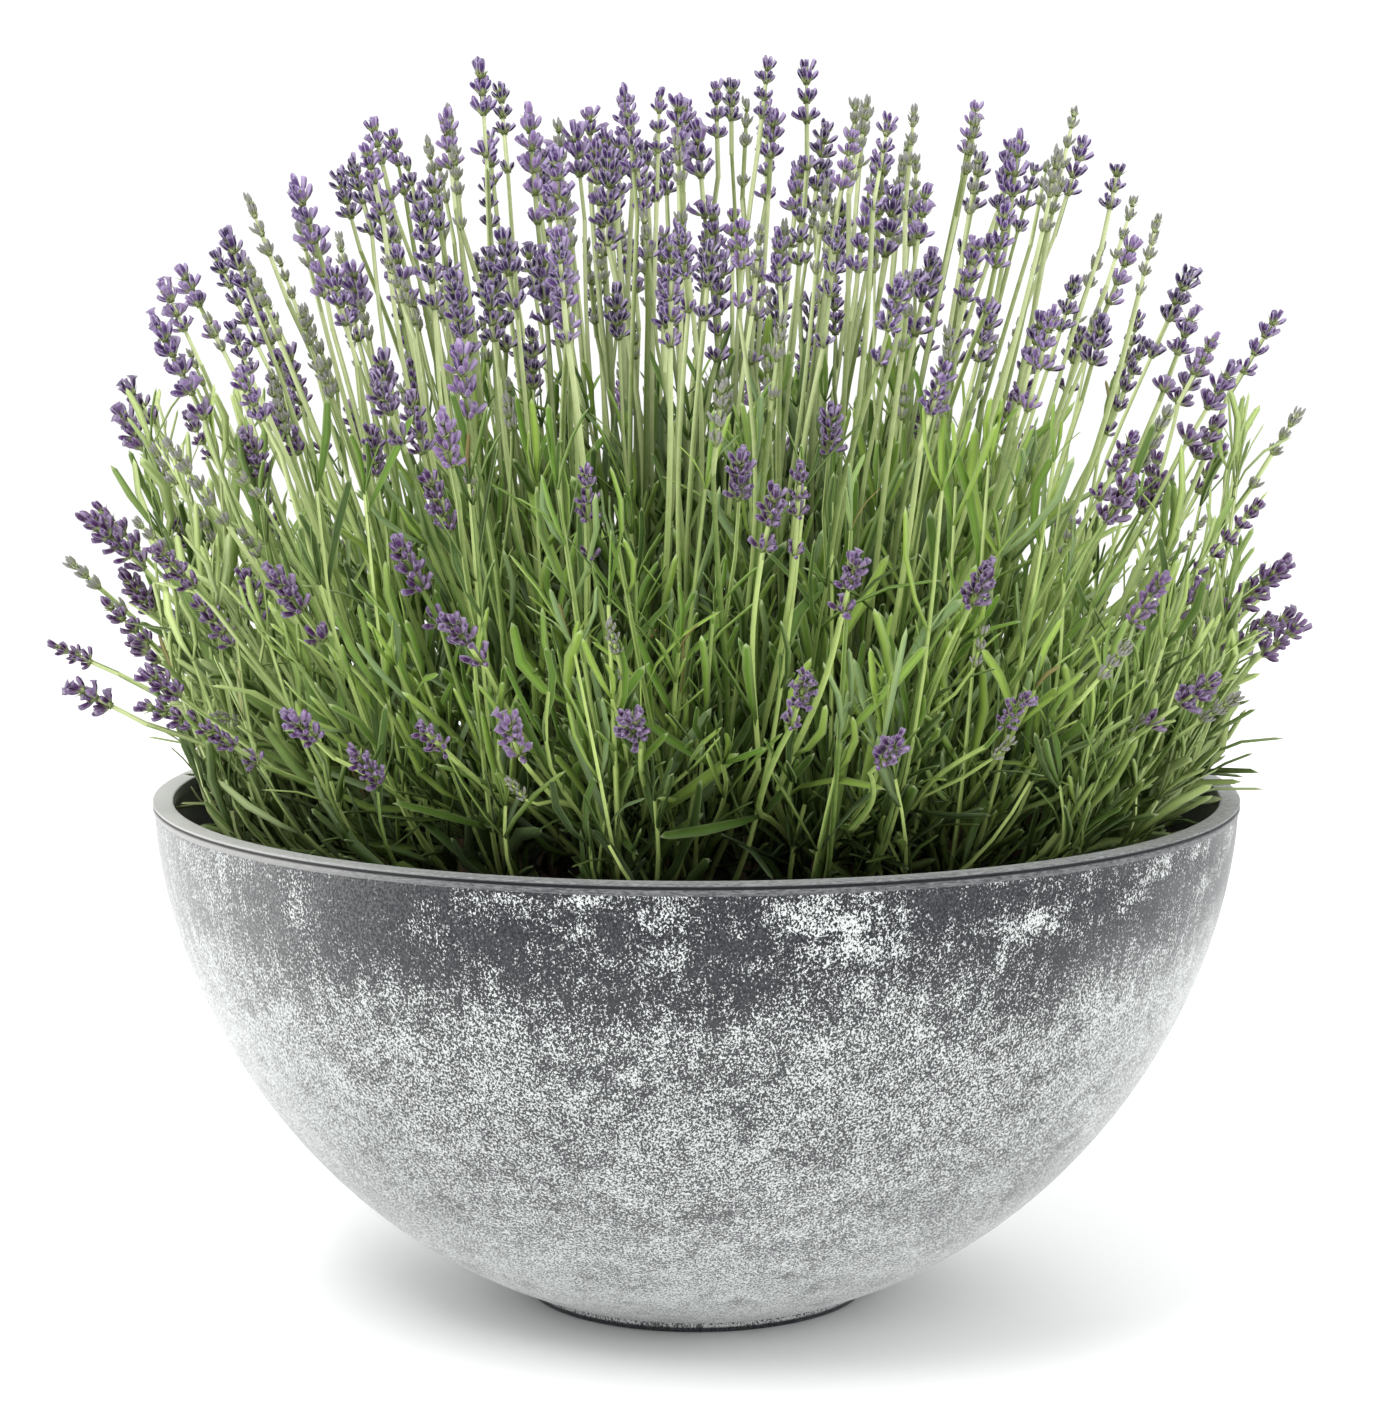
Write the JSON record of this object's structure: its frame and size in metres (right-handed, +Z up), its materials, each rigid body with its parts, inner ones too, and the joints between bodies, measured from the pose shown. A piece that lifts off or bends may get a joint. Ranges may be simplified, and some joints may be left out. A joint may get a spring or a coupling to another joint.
{
  "type": "potted lavender",
  "caption": "Low half-round bowl planter filled with soil and planted with a dense dome of flowering lavender, made to stand on a terrace, ledge or garden table.",
  "frame": {"origin": "middle of the bowl's flat foot, on the ground", "axes": "+Z up out of the bowl, -Y towards the side the picture shows, +X to that view's right"},
  "size_m": [0.4279, 0.4263, 0.4248],
  "materials": {
    "bowl": "matte, charcoal with fine pale speckles",
    "soil": "matte, dark crumbly potting soil",
    "lavender": "matte, green stems and leaves with violet flower heads"
  },
  "bodies": {
    "root": {"bowl": "bowl", "soil": "soil", "spray_01": "lavender", "spray_02": "lavender", "spray_03": "lavender", "spray_04": "lavender", "spray_05": "lavender", "spray_06": "lavender", "spray_07": "lavender", "spray_08": "lavender", "spray_09": "lavender", "spray_10": "lavender", "spray_11": "lavender", "spray_12": "lavender", "spray_13": "lavender", "spray_14": "lavender", "spray_15": "lavender", "spray_16": "lavender", "spray_17": "lavender", "spray_18": "lavender", "spray_19": "lavender", "spray_20": "lavender", "spray_21": "lavender", "spray_22": "lavender", "spray_23": "lavender", "spray_24": "lavender", "spray_25": "lavender", "spray_26": "lavender", "spray_27": "lavender", "spray_28": "lavender", "spray_29": "lavender", "spray_30": "lavender", "spray_31": "lavender", "spray_32": "lavender", "spray_33": "lavender", "spray_34": "lavender", "spray_35": "lavender", "spray_36": "lavender", "spray_37": "lavender", "spray_38": "lavender", "spray_39": "lavender", "spray_40": "lavender", "spray_41": "lavender", "spray_42": "lavender", "spray_43": "lavender", "spray_44": "lavender", "spray_45": "lavender", "spray_46": "lavender", "spray_47": "lavender", "spray_48": "lavender", "spray_49": "lavender", "spray_50": "lavender", "spray_51": "lavender", "spray_52": "lavender", "spray_53": "lavender", "spray_54": "lavender"}
  },
  "joints": []
}
